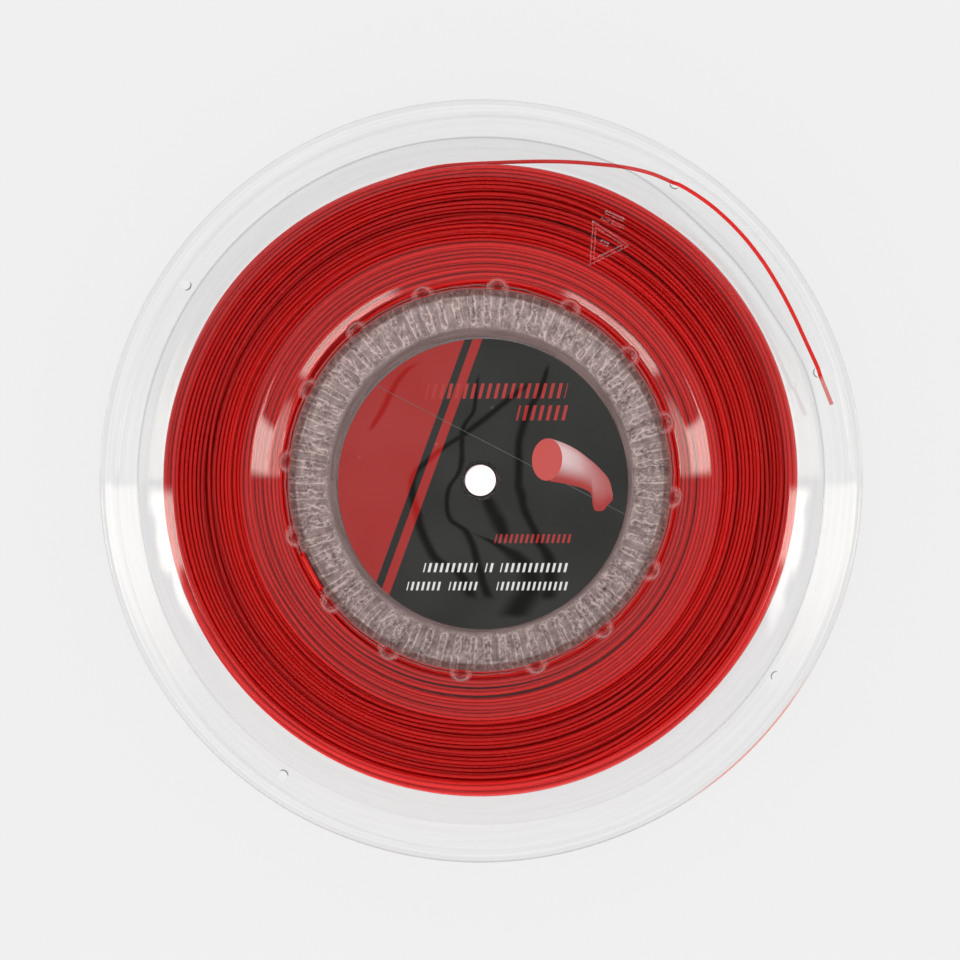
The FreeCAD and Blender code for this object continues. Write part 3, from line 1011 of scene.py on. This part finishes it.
def make_heart():
    """The dense middle of the coil, which closes the gaps between strings; its dark red is
    painted shade in those gaps.
    """
    theta = even_angles(TURN_SAMPLES)
    low = surface_r[:, 1:-1].min(axis=1)
    low = np.min([np.roll(low, k) for k in range(-4, 5)], axis=0)
    low = np.convolve(np.pad(low, 6, mode="wrap"), np.ones(13) / 13, mode="valid")
    outer = np.array([low[int(round((END_ANGLE - math.degrees(t)) / SAMPLE_DEG))
                          % TURN_SAMPLES] for t in theta])
    outer = outer + bulge(outer, theta)
    inner = PACK_IN + 1.5
    rings = [(inner, -5.7), (inner, 5.7), (80.0, 5.9), (outer - 1.5, 5.7), (outer - 1.2, 4.5),
             (outer - 1.2, -4.5), (outer - 1.5, -5.7), (80.0, -5.9)]
    verts, faces = loft([(theta, polar(radius, theta, z)) for radius, z in rings])
    material = string_material("red_string_deep", base=(0.12, 0.0015, 0.002),
                               dark=(0.07, 0.001, 0.0012), gloss=0.6)
    return new_object("coil_heart", verts, faces, material, sharp=40)


register(make_heart(), "string")

# ---- free end -------------------------------------------------------------------------
# Path of the free end over the flange: angle in degrees, radius
TAIL_PATH = [
    (12.5, 117.75), (15.0, 117.05), (17.4, 116.55), (22.5, 115.85), (27.5, 115.95),
    (32.5, 116.4), (37.0, 116.95), (42.0, 117.4), (46.0, 117.55), (49.5, 117.5),
    (53.0, 117.15), (56.4, 116.55), (60.7, 115.4), (64.8, 113.6), (69.5, 111.2),
    (75.2, 108.9), (80.0, 107.3), (84.0, 106.25), (88.0, 105.6), (92.0, 105.36),
    (96.0, 105.32),
]
PIVOT_DEG, AIM_DEG, TIP_LEN = 15.95, 12.7, 8.4    # the straight tip starts at the pivot
PASS_LEN = 3.5                                    # run over which it passes through a hole
FACE_GAP = 0.76                                   # centre line to the face it lies on
LEAD_Z = 2.6                                      # height at which it leaves the coil
LEAVE_R = 105.36
TUBE_SIDES = 14


def tail_radius(degrees):
    """Smooth curve through TAIL_PATH."""
    for i in range(len(TAIL_PATH) - 1):
        if TAIL_PATH[i][0] <= degrees <= TAIL_PATH[i + 1][0]:
            break
    before, start, end = TAIL_PATH[max(i - 1, 0)], TAIL_PATH[i], TAIL_PATH[i + 1]
    after = TAIL_PATH[min(i + 2, len(TAIL_PATH) - 1)]
    span = end[0] - start[0]
    slope_in = (end[1] - before[1]) / (end[0] - before[0])
    slope_out = (after[1] - start[1]) / (after[0] - start[0])
    t = (degrees - start[0]) / span
    return ((2 * t**3 - 3 * t**2 + 1) * start[1] + (t**3 - 2 * t**2 + t) * span * slope_in
            + (-2 * t**3 + 3 * t**2) * end[1] + (t**3 - t**2) * span * slope_out)


def tail_point(degrees):
    """Under the sheet, but over it between the first two holes."""
    radius = tail_radius(degrees)
    under = section_z(INNER, radius) - FACE_GAP
    over = section_z(SECTION, radius) + FACE_GAP
    mm_per_deg = math.radians(1.0) * radius
    outside = (smooth01((HOLE_ANGLES[1] - degrees) * mm_per_deg / PASS_LEN + 0.5)
               * smooth01((degrees - HOLE_ANGLES[0]) * mm_per_deg / PASS_LEN + 0.5))
    lead = smooth01((degrees - 58.5) / 34.0)
    under = under * (1 - lead) + LEAD_Z * lead
    droop = max(0.0, 15.6 - degrees) * mm_per_deg * 0.075
    z = under * (1 - outside) + over * outside - droop
    return polar(radius, math.radians(degrees), z)


def path_frames(points):
    """Unit vectors square to a path, the first kept level."""
    ahead = np.gradient(points, axis=0)
    ahead /= np.linalg.norm(ahead, axis=1)[:, None]
    level = np.cross(np.array([0, 0, 1.0]), ahead)
    level /= np.linalg.norm(level, axis=1)[:, None]
    return level, np.cross(ahead, level)


def lead_points():
    """Back along the pack the free end is one more turn lying on the coil."""
    path = []
    for degrees in np.arange(215.0, 96.0, -1.5):
        i = int(round((degrees - END_ANGLE) / SAMPLE_DEG)) % TURN_SAMPLES
        z = LEAD_Z + 3.4 * smooth01((degrees - 110.0) / 100.0)
        below = ((column == (len(coil_r) - 1 - i) % TURN_SAMPLES)
                 & (np.abs(coil_z - z) < STRING_D))
        radius = PACK_OUT
        if below.any():
            lift = np.sqrt(STRING_D ** 2 - (coil_z[below] - z) ** 2)
            radius = float(np.max(coil_r[below] + lift))
        path.append((degrees, radius, z))
    degrees, radius, z = np.array(path).T
    # it beds into the coil and dives under its neighbours
    sunk = 0.35 + 1.3 * smooth01((degrees - 118.0) / 60.0)
    radius = smoothed(window_max(radius, 2), 3.0) - sunk
    radius = radius + bulge(radius, np.radians(degrees))
    on_coil = smooth01((degrees - 96.0) / 12.0)
    radius = radius * on_coil + LEAVE_R * (1 - on_coil)
    return polar(radius, np.radians(degrees), z)


# angles along the tail: start, stop, step
TAIL_STEPS = [(95.5, 60.0, -1.0), (60.0, 53.0, -0.3), (53.0, 20.5, -0.8),
              (20.5, PIVOT_DEG, -0.3)]
tail_degrees = [degrees for steps in TAIL_STEPS for degrees in np.arange(*steps)]
tail_points = np.array([tail_point(degrees) for degrees in tail_degrees + [PIVOT_DEG]])
pivot = tail_points[-1]
tip_dir = tail_point(AIM_DEG) - pivot
tip_dir /= np.linalg.norm(tip_dir)
tip_points = np.array([pivot + tip_dir * s for s in np.linspace(0, TIP_LEN, 15)[1:]])
end_points = np.concatenate([lead_points(), tail_points, tip_points])
verts, faces = tube(end_points, *path_frames(end_points), STRING_R, TUBE_SIDES)
# painted light: the string outside the coil is a brighter copy of the coil's red
TAIL_LIT = string_material(
    "red_string_end", base=(0.76, 0.012, 0.007), dark=(0.70, 0.010, 0.006), gloss=0.26,
    tip=((pivot[0], pivot[1]), (tip_dir[0], tip_dir[1]), (0.82, 0.22, 0.19)))
free_end = new_object("free_end", verts, faces, TAIL_LIT, sharp=60)
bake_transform(free_end)
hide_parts("string_tail", "string_tip")

# ---- inner end, looped out through the slot -------------------------------------------
LOOP_DEG, LOOP_R, LOOP_RISE = (203.45, 214.05), 63.55, 2.2
part = np.linspace(0, 1, 41)
rise = np.sin(math.pi * part)
loop = polar(LOOP_R - 0.5 * rise,
             np.radians(LOOP_DEG[0] + (LOOP_DEG[1] - LOOP_DEG[0]) * part),
             PACK_HALF + STRING_R + 0.08 + LOOP_RISE * rise)
verts, faces = tube(loop, *path_frames(loop), STRING_R, TUBE_SIDES)
register(new_object("inner_end", verts, faces, TAIL_LIT, sharp=60), "string", "string_start")

# ---- shells and core ------------------------------------------------------------------
register(make_shell("front_moulding", 1, 11, CLEAR_FRONT), "clear_shell", "front_shell")
register(make_shell("back_moulding", -1, 12, CLEAR_BACK), "clear_shell", "back_shell")

# the core keeps its CAD shape
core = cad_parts["winding_core"]
core.data.materials.clear()
core.data.materials.append(CLEAR_CORE)

# ---- labels ---------------------------------------------------------------------------
LABEL_HOLE_R, LABEL_THICK = 6.6, 0.15
LABEL_SIDES = 192
SOFT = 0.09                    # half width of a printed edge
# Words blocked in as slanting strokes: centre x, y, width, height, pitch, inked share
RED_ROWS = [(5.3, 29.7, 46.5, 5.0, 2.6, 0.42), (20.6, 22.4, 16.5, 5.0, 2.6, 0.42),
            (17.4, -19.3, 25.0, 2.9, 1.75, 0.45)]
WHITE_ROWS = [
    (-10.0, -28.9, 17.5, 3.0, 1.95, 0.42), (3.0, -28.9, 2.6, 3.0, 1.95, 0.42),
    (18.0, -28.9, 22.5, 3.0, 1.95, 0.42), (-18.8, -35.0, 11.0, 2.8, 1.75, 0.42),
    (-5.6, -35.0, 9.5, 2.8, 1.75, 0.42), (17.5, -35.0, 24.0, 2.8, 1.75, 0.42),
]
# The printed piece of string: upper and lower edge and paleness, each as (x, value)
PIECE_TOP = [(23.0, 13.9), (30.0, 11.2), (35.7, 7.3), (40.0, 3.4), (42.4, 0.4), (43.6, -3.5),
             (44.0, -6.0)]
PIECE_FOOT = [(23.0, -0.3), (30.5, -1.7), (34.8, -3.1), (36.6, -4.4), (37.3, -8.5),
              (38.4, -10.2), (40.0, -10.2), (42.0, -8.4), (44.0, -6.2)]
PIECE_PALE = [(23, 0.75), (27, 1.0), (31, 0.85), (37, 0.35), (42, 0.15), (44, 0.1)]
# Folds in the film, where the painted reflection goes dark: the path as (y, x), then the width
# as (y, width)
FOLDS = [
    ([(-40, 21.5), (-31.7, 23.2), (-19.2, 19.1), (-6.8, 14.1), (5.6, 12.4), (18.1, 14.1),
      (30.5, 19.9), (39.6, 23.2)],
     [(-40, 4.0), (-30, 3.4), (-15, 2.2), (5, 2.0), (22, 1.8), (40, 0.7)]),
    ([(-40, -3), (-31.7, -7.0), (-25.9, -14.9), (-13.4, -20.7), (-1.8, -23.0), (8.1, -15.8),
      (15.6, -5.0), (24.7, 6.6), (33.4, 17.4)],
     [(-40, 3.0), (-22, 2.4), (0, 2.0), (16, 2.2), (26, 2.2), (34, 1.0)]),
    ([(-40, 3.0), (-35.8, 1.7), (-17.6, -5.0), (-6.8, -11.4), (5.6, -6.3), (15.6, -6.3),
      (23.9, -2.1), (35.5, -0.8)],
     [(-40, 2.4), (-20, 2.0), (-6, 1.2), (16, 1.2), (35, 0.7)]),
    ([(16, -37.3), (23.9, -32.3), (34.7, -26.5), (40.5, -18.2)],
     [(16, 0.8), (26, 1.6), (40, 1.4)]),
    ([(-46, 10.0), (-40, 14.0), (-34, 17.0), (-26, 12.0), (-20, 3.0), (-17, -6.0)],
     [(-46, 7.0), (-36, 6.5), (-27, 5.0), (-20, 2.6), (-17, 0.6)]),
    ([(-20, 8.6), (-12, 5.4), (-3, 1.6)],
     [(-20, 0.8), (-15, 3.6), (-9, 3.4), (-3, 0.6)]),
]


def within(value, half):
    """1 where value is below half, with a soft edge."""
    return value.ease(half - SOFT, half + SOFT, out=(1.0, 0.0))


def stroke_row(net, x, y, row):
    row_x, row_y, width, height, pitch, share = row
    slanted = x - (y - row_y) * 0.24
    phase = net.math("PINGPONG", slanted - (row_x - width / 2), pitch / 2)
    inside = within(abs(slanted - row_x), width / 2) * within(abs(y - row_y), height / 2)
    return inside * within(phase, pitch * share / 2)


def front_art(net, x, y, color):
    # red field with a slanted edge on the left, and one slanted stripe beside it
    slant = along(x - 0.0, y - 0.0, -20.0)
    field = slant.ease(-21.0 + SOFT, -21.0 - SOFT)
    stripe = slant.window(-18.5 - SOFT, -18.5 + SOFT, -15.5 - SOFT, -15.5 + SOFT)
    color = net.mix(field.max(stripe), color, (0.37, 0.014, 0.013))
    # fine diagonal line
    dx, dy = x - 5, y - 11
    hairline = abs(across(dx, dy, -27.5)).ease(0.04, 0.15, out=(1.0, 0.0))
    hairline = hairline * along(dx, dy, -27.5).ease(-46, -44)
    color = net.mix(hairline, color, (0.11, 0.11, 0.105))
    for rows, ink in ((RED_ROWS, (0.42, 0.030, 0.028)), (WHITE_ROWS, (0.80, 0.80, 0.78))):
        words = largest([stroke_row(net, x, y, row) for row in rows])
        color = net.mix(words, color, ink)
    # a cut piece of string: a body that bends away, then its round end
    top, foot = x.curve(PIECE_TOP), x.curve(PIECE_FOOT)
    body = (top - y).ease(-SOFT, SOFT) * (y - foot).ease(-SOFT, SOFT)
    body = body * x.window(22.9, 23.1, 43.7, 43.9)
    height = (y - foot) / (top - foot).max(0.5)
    pale = x.curve(PIECE_PALE) * height.ease(0.05, 0.6)
    pale = pale * height.ease(1.05, 0.8, out=(0.5, 1.0))
    color = net.mix(body, color, net.mix(pale, (0.40, 0.030, 0.028), (0.74, 0.55, 0.56)))
    dx, dy = x - 22.1, y - 6.9
    half_w, half_h, turn = 5.0, 7.0, -4.0
    end_x, end_y = along(dx, dy, turn), across(dx, dy, turn)
    away = net.math("SQRT", (end_x / half_w) * (end_x / half_w)
                    + (end_y / half_h) * (end_y / half_h))
    edge = SOFT / min(half_w, half_h)
    disc = away.ease(1 - edge, 1 + edge, out=(1.0, 0.0))
    return net.mix(disc, color, (0.58, 0.075, 0.068))


def film_folds(net, x, y):
    """Winding folds of the laminating film, where the painted reflection goes dark."""
    warp = net.noise(net.vector(x * 0.06, y * 0.06, 0.0), detail=2.0, rough=0.5)
    warp = (warp - 0.5) * 3.4
    y, x = y + warp, x + warp
    folds = []
    for path, widths in FOLDS:
        away = abs(x - y.curve(path)) / y.curve(widths)
        low, high = path[0][0], path[-1][0]
        ends = y.window(low - 0.5, low + 2.5, high - 3.5, high + 0.5)
        folds.append(away.ease(0.15, 1.15, out=(1.0, 0.0)) * ends)
    return largest(folds)


def label_material(name, art):
    """Black print under slack film, with the film's dull reflection painted on; art adds the
    front's printing.
    """
    material, net = new_material(name)
    place = net.coords()
    x, y, _ = place.split()
    x, y = x * 1000.0, y * 1000.0
    color = net.mix(net.noise(place, scale=220.0, detail=3.0, rough=0.6),
                    (0.0085, 0.0085, 0.0080), (0.0115, 0.0115, 0.0110))
    if art:
        color = front_art(net, x, y, color)
    # the film's dull sheen is a painted reflection, broken dark by the folds, with tiny specks
    folds = film_folds(net, x, y)
    cloud = net.noise(net.vector(x * 0.035, y * 0.035, 7.0), detail=1.0, rough=0.4)
    tone = cloud.ease(0.3, 0.7, out=(0.030, 0.041))
    painted_sheen_and_specks = tone * folds.linear(0.0, 1.0, out=(1.0, 0.12))
    cells = net.value("ShaderNodeTexVoronoi", {"Vector": place, "Scale": 95.0}, feature="F1")
    dots = cells.ease(0.02, 0.07, out=(1.0, 0.0))
    painted_sheen_and_specks = painted_sheen_and_specks + dots * 0.03
    slack = net.noise(place, scale=30.0, detail=1.0, rough=0.4)
    rough = net.noise(place, scale=60.0, detail=3.0, rough=0.6)
    net.finish(net.value("ShaderNodeBsdfPrincipled", {
        "Base Color": net.vector_math("ADD", color, net.vector(painted_sheen_and_specks, painted_sheen_and_specks, painted_sheen_and_specks * 0.96)),
        "Normal": net.bump(slack * 0.6 + dots * 0.15, distance=0.00025),
        "Roughness": rough.ease(0.35, 0.75, out=(0.07, 0.14)), "IOR": 1.45}))
    return material


def make_label(name, side, centre, radius, material):
    """Thin disc on the well's floor; its rim is off centre but its hole is not."""
    theta = even_angles(LABEL_SIDES)
    low, high = FLOOR_TOP + 0.01, FLOOR_TOP + LABEL_THICK
    profile = [(LABEL_HOLE_R, low), (LABEL_HOLE_R, high)]
    profile += [(r, high) for r in np.linspace(LABEL_HOLE_R + 0.3, radius - 0.05, 12)]
    profile += [(radius, high - 0.05), (radius, low)]
    rings = []
    for ring_r, z in profile:
        share = (ring_r - LABEL_HOLE_R) / (radius - LABEL_HOLE_R)
        shift = np.array([centre[0] * share, centre[1] * share, 0.0])
        rings.append((theta, polar(ring_r, theta, z) + shift))
    verts, faces = loft(rings)
    if side < 0:
        verts = verts * TURN_OVER
    return new_object(name, verts, faces, material, sharp=35)


register(make_label("front_print", 1, centre=(0.70, -1.10), radius=48.2,
                    material=label_material("label_front", True)),
         "label_front", "front_label")
register(make_label("back_print", -1, centre=(0.2, -0.3), radius=46.0,
                    material=label_material("label_back", False)),
         "label_back", "back_label")


# ---- floor ----------------------------------------------------------------------------
def ground_material():
    """Glowing ground with a painted shadow, tinted warm, below the coil, and a painted bright
    spot under the open bore, which alone lets light through.
    """
    material, net = new_material("ground")
    x, y, _ = net.coords().split()
    radius = net.length(x, y) * 1000.0
    glow_and_painted_shadow = radius.ease(90.0, 108.0, out=(0.22, 1.0)) * 0.735
    glow_and_painted_shadow = glow_and_painted_shadow.max(radius.ease(9.0, 12.0, out=(1.25, 0.0)))
    color = net.mix(radius.ease(92.0, 106.0), (1.0, 0.86, 0.84), (1.0, 1.0, 1.0))
    light = net.value("ShaderNodeEmission", {0: color, 1: glow_and_painted_shadow})
    matt = net.value("ShaderNodeBsdfDiffuse", {0: (0.14, 0.14, 0.14)})
    net.finish(net.value("ShaderNodeAddShader", {0: light, 1: matt}))
    return material


ground = ground_material()
bpy.ops.mesh.primitive_circle_add(vertices=64, radius=4.0, fill_type="NGON",
                                  location=(0, 0, -REEL_HALF * MM - 0.0001))
floor = bpy.context.object
floor.name = "ground"
floor.data.materials.append(ground)

# ---- camera and light -----------------------------------------------------------------
CAMERA_RIGHT, CAMERA_DOWN = 2.7, 2.0           # tilt of the view off the axis, degrees
CAMERA_DIST = 937.0
VIEW_WIDTH = 314.112                           # width seen at the target
SENSOR_WIDTH = 36.0
TARGET = Vector((0.42536, -0.29448, REEL_HALF))


def make_world():
    """A light tent round the reel; the camera itself sees plain grey."""
    world = bpy.data.worlds.new("studio")
    bpy.context.scene.world = world
    world.use_nodes = True
    net = Net(world.node_tree, "ShaderNodeOutputWorld")
    x, y, z = net.coords("Generated").split()
    to_degrees = 180 / math.pi
    # degrees round the middle of the reel's mirror image of the camera
    side = net.math("ARCTAN2", x, z) * to_degrees + CAMERA_RIGHT
    up = net.math("ARCTAN2", y, z) * to_degrees - CAMERA_DOWN
    away = net.length(side, up)
    climb = net.math("ARCTAN2", up, abs(side)) * to_degrees    # 0 sideways, 90 straight up
    aside = abs(side)

    # the tent is dark round the camera and brightest low down
    tent = away.ease(7.3, 8.1, out=(0.0, 0.24)) + away.ease(11.0, 24.0, out=(0.0, 0.70))
    tent = tent * away.ease(60.0, 85.0, out=(1.0, 0.8))
    tent = tent * up.ease(-22.0, -55.0, out=(1.0, 1.55))

    # left and right: a bar that opens out sideways and fades upwards
    full = aside.ease(10.5, 15.0, out=(2.35, 4.0))
    gone = aside.ease(10.5, 15.0, out=(2.95, 12.5))
    bar = up.ease(0.05, 0.70) * up.ease(full, gone, out=(1.0, 0.0))
    bar = bar * (away.ease(8.98, 9.2) * aside.ease(34.0, 26.0))
    bar = bar * aside.ease(10.6, 13.0, out=(4.9, 1.9))
    # an arc higher up, and a thin curved end near the camera
    arc = away.window(12.95, 13.3, 13.6, 13.85) * climb.window(29.0, 33.0, 61.0, 68.0)
    thin = away.window(9.12, 9.30, 9.55 + climb * -0.015, 9.75 + climb * -0.015)
    thin = thin * climb.window(1.0, 4.0, 25.0, 30.0)

    level = tent + bar.max((arc * 3.8).max(thin * 4.4))
    strips = bar.max(arc.max(thin))
    warm = net.mix(strips.ease(0.3, 1.0), (1, 1, 1), (1, 0.96, 0.88))
    lighting = net.value("ShaderNodeBackground", {0: warm, 1: level})
    backdrop = net.value("ShaderNodeBackground", {0: (0.855, 0.855, 0.855)})
    seen = net.value("ShaderNodeLightPath", output="Is Camera Ray")
    net.finish(net.value("ShaderNodeMixShader", {0: seen, 1: lighting, 2: backdrop}))


def make_camera():
    back = Vector((math.sin(math.radians(CAMERA_RIGHT)),
                   -math.sin(math.radians(CAMERA_DOWN)), 1.0)).normalized()
    right = Vector((0, 1, 0)).cross(back).normalized()
    up = back.cross(right)
    data = bpy.data.cameras.new("camera")
    data.sensor_width = SENSOR_WIDTH
    data.lens = SENSOR_WIDTH * CAMERA_DIST / VIEW_WIDTH
    data.clip_start = 0.01
    data.clip_end = 20.0
    camera = bpy.data.objects.new("camera", data)
    bpy.context.scene.collection.objects.link(camera)
    turn = Matrix((right, up, back)).transposed().to_4x4()
    camera.matrix_world = Matrix.Translation((TARGET + back * CAMERA_DIST) * MM) @ turn
    bpy.context.scene.camera = camera


make_world()
make_camera()

scene = bpy.context.scene
scene.view_settings.view_transform = "Standard"
scene.view_settings.look = "None"
scene.cycles.max_bounces = 14
scene.cycles.transparent_max_bounces = 24
scene.cycles.sample_clamp_indirect = 6.0
